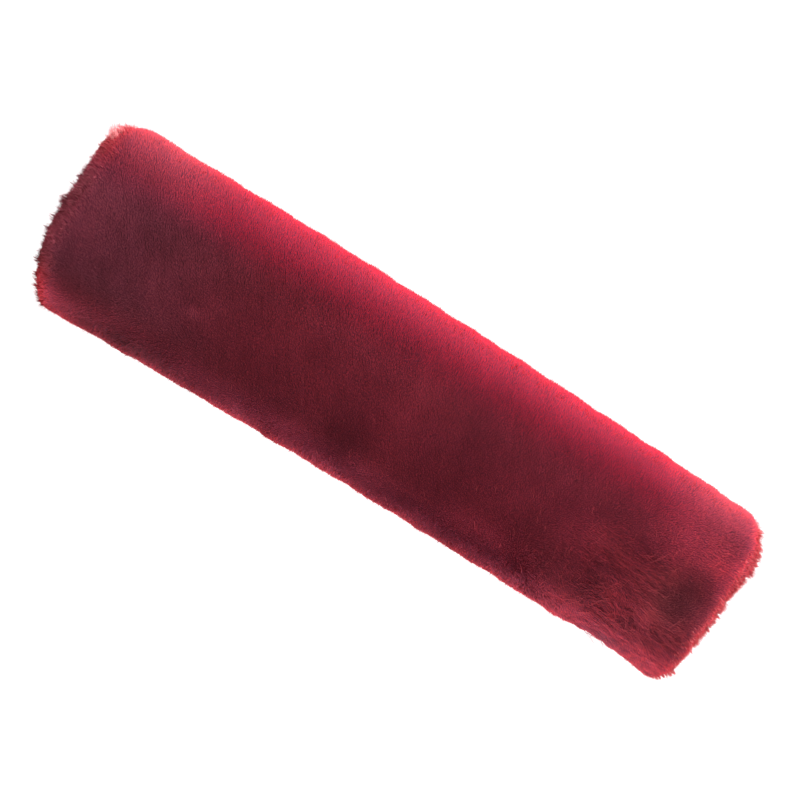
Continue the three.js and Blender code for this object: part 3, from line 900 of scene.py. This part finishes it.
def tape_material(name, dark, light, pile_size, roughness):
    """Nylon hook or loop tape, woven and then raised: a short pile whose loops or hooks are a size apart."""
    material, tree = empty_material(name)
    place = add_node(tree, "ShaderNodeTexCoord")
    pile = add_node(
        tree,
        "ShaderNodeTexVoronoi",
        [("Vector", place.outputs["Object"]), ("Scale", 1 / (pile_size * MM)), ("Randomness", 0.7)],
    )
    # The pile is painted light on each loop's or hook's top and dark in the hollows between, painted shade
    dye = add_node(tree, "ShaderNodeValToRGB", [("Fac", pile.outputs["Distance"])])
    dye.color_ramp.elements[0].color = linear(light)
    dye.color_ramp.elements[1].position, dye.color_ramp.elements[1].color = 0.8, linear(dark)
    bump = add_node(
        tree,
        "ShaderNodeBump",
        [("Height", pile.outputs["Distance"]), ("Distance", 0.25 * MM), ("Strength", 0.9)],
        invert=True,
    )
    shader = add_node(
        tree,
        "ShaderNodeBsdfPrincipled",
        [
            ("Base Color", dye.outputs["Color"]),
            ("Roughness", roughness),
            ("Specular IOR Level", 0.4),
            ("Normal", bump.outputs["Normal"]),
        ],
    )
    add_node(tree, "ShaderNodeOutputMaterial", [("Surface", shader.outputs["BSDF"])])
    return material


def thread_material():
    """Twisted polyester sewing thread: its plies show as slanting stripes, 0.5 mm apart, with a slight
    gloss."""
    material, tree = empty_material("twisted_polyester_thread")
    place = add_node(tree, "ShaderNodeTexCoord")
    slant = add_node(
        tree,
        "ShaderNodeMapping",
        [("Vector", place.outputs["Object"]), ("Rotation", (0.0, 0.0, 0.6))],
    )
    plies = add_node(
        tree,
        "ShaderNodeTexWave",
        [("Vector", slant.outputs["Vector"]), ("Scale", 1 / (0.5 * MM) / 20 * math.pi)],
    )
    # The plies are painted dark in the grooves between them and light on their crests, painted shade
    dye = add_node(tree, "ShaderNodeValToRGB", [("Fac", plies.outputs["Fac"])])
    dye.color_ramp.elements[0].color = linear("#4c111c")
    dye.color_ramp.elements[1].color = linear("#8c2f3e")
    bump = add_node(
        tree,
        "ShaderNodeBump",
        [("Height", plies.outputs["Fac"]), ("Distance", 0.08 * MM), ("Strength", 0.8)],
    )
    shader = add_node(
        tree,
        "ShaderNodeBsdfPrincipled",
        [("Base Color", dye.outputs["Color"]), ("Roughness", 0.5), ("Normal", bump.outputs["Normal"])],
    )
    add_node(tree, "ShaderNodeOutputMaterial", [("Surface", shader.outputs["BSDF"])])
    return material


def finish_tapes():
    """The tapes and their stitching keep their shapes and get their real finish."""
    thread = thread_material()
    finishes = {
        "loop_tape": tape_material("brushed_nylon_loop_tape", "#220a0f", "#5c1f2a", 0.55, 0.85),
        "hook_tape": tape_material("nylon_hook_tape", "#1e0a0f", "#4c1a24", 1.2, 0.45),
        "loop_tape_inner_stitches": thread,
        "loop_tape_outer_stitches": thread,
        "hook_tape_inner_stitches": thread,
        "hook_tape_outer_stitches": thread,
    }
    for name, finish in finishes.items():
        node = bpy.data.objects[name]
        for slot in node.material_slots:
            slot.material = finish


# The studio


def make_camera():
    """The camera looks down on the pad at the photograph's angle, turned so that it runs down to
    the right."""
    axes = Matrix([CAMERA_RIGHT, CAMERA_UP, CAMERA_BACK]).transposed().to_4x4()
    data = bpy.data.cameras.new("camera")
    data.sensor_width = 36.0
    data.lens = FOCAL_PIXELS / PICTURE_PIXELS * data.sensor_width
    data.clip_start = 0.01
    camera = bpy.data.objects.new("camera", data)
    bpy.context.collection.objects.link(camera)
    camera.matrix_world = Matrix.Translation(Vector(CAMERA_PLACE) * MM) @ axes
    bpy.context.scene.camera = camera


def seen_directly(tree):
    """1 for the camera and for what metal and glass reflect or pass on, and 0 for the light on the object."""
    path = add_node(tree, "ShaderNodeLightPath")
    glossy = add_node(
        tree,
        "ShaderNodeMath",
        [(0, path.outputs["Is Camera Ray"]), (1, path.outputs["Is Glossy Ray"])],
        operation="MAXIMUM",
    )
    seen = add_node(
        tree,
        "ShaderNodeMath",
        [(0, glossy.outputs[0]), (1, path.outputs["Is Transmission Ray"])],
        operation="MAXIMUM",
    )
    return seen.outputs[0]


def make_floor():
    bpy.ops.object.select_all(action="DESELECT")
    bpy.ops.mesh.primitive_plane_add(size=FLOOR_SIZE, location=(0, 0, -FLOOR_GAP))
    floor = bpy.context.object
    floor.name = "floor"
    bpy.ops.object.transform_apply(location=True, rotation=True, scale=True)
    material, tree = empty_material("white_table")
    board = add_node(tree, "ShaderNodeBsdfDiffuse", [("Color", linear("#f2f2f2"))])
    white = add_node(tree, "ShaderNodeEmission", [("Color", (1, 1, 1, 1)), ("Strength", 0.62)])
    both = add_node(tree, "ShaderNodeAddShader", [(0, board.outputs[0]), (1, white.outputs[0])])
    mixed = add_node(
        tree,
        "ShaderNodeMixShader",
        [(0, seen_directly(tree)), (1, board.outputs[0]), (2, both.outputs[0])],
    )
    add_node(tree, "ShaderNodeOutputMaterial", [("Surface", mixed.outputs[0])])
    floor.data.materials.append(material)


def make_world():
    world = bpy.data.worlds.new("studio")
    bpy.context.scene.world = world
    world.use_nodes = True
    tree = world.node_tree
    tree.nodes.clear()
    fill = add_node(tree, "ShaderNodeBackground", [("Color", (1, 1, 1, 1)), ("Strength", 0.35)])
    white = add_node(tree, "ShaderNodeBackground", [("Color", (1, 1, 1, 1)), ("Strength", 1.0)])
    mixed = add_node(
        tree,
        "ShaderNodeMixShader",
        [(0, seen_directly(tree)), (1, fill.outputs[0]), (2, white.outputs[0])],
    )
    add_node(tree, "ShaderNodeOutputWorld", [("Surface", mixed.outputs[0])])


def add_lamp(name, place, size, energy):
    data = bpy.data.lights.new(name, "AREA")
    data.shape = "RECTANGLE"
    data.size, data.size_y = size
    data.energy = energy
    lamp = bpy.data.objects.new(name, data)
    bpy.context.collection.objects.link(lamp)
    place = Vector(place)
    lamp.matrix_world = Matrix.Translation(place) @ place.to_track_quat("Z", "Y").to_matrix().to_4x4()


bpy.context.scene.view_settings.view_transform = "Standard"
make_camera()
make_world()
make_floor()
add_lamp("window", (0.1, 1.1, 0.30), (1.2, 0.5), 24)
add_lamp("reflector", (-0.3, -1.1, 0.3), (1.2, 0.5), 17)
add_lamp("right", (1.1, 0.0, 0.25), (1.0, 0.4), 6)
make_wool()
make_skin()
finish_tapes()
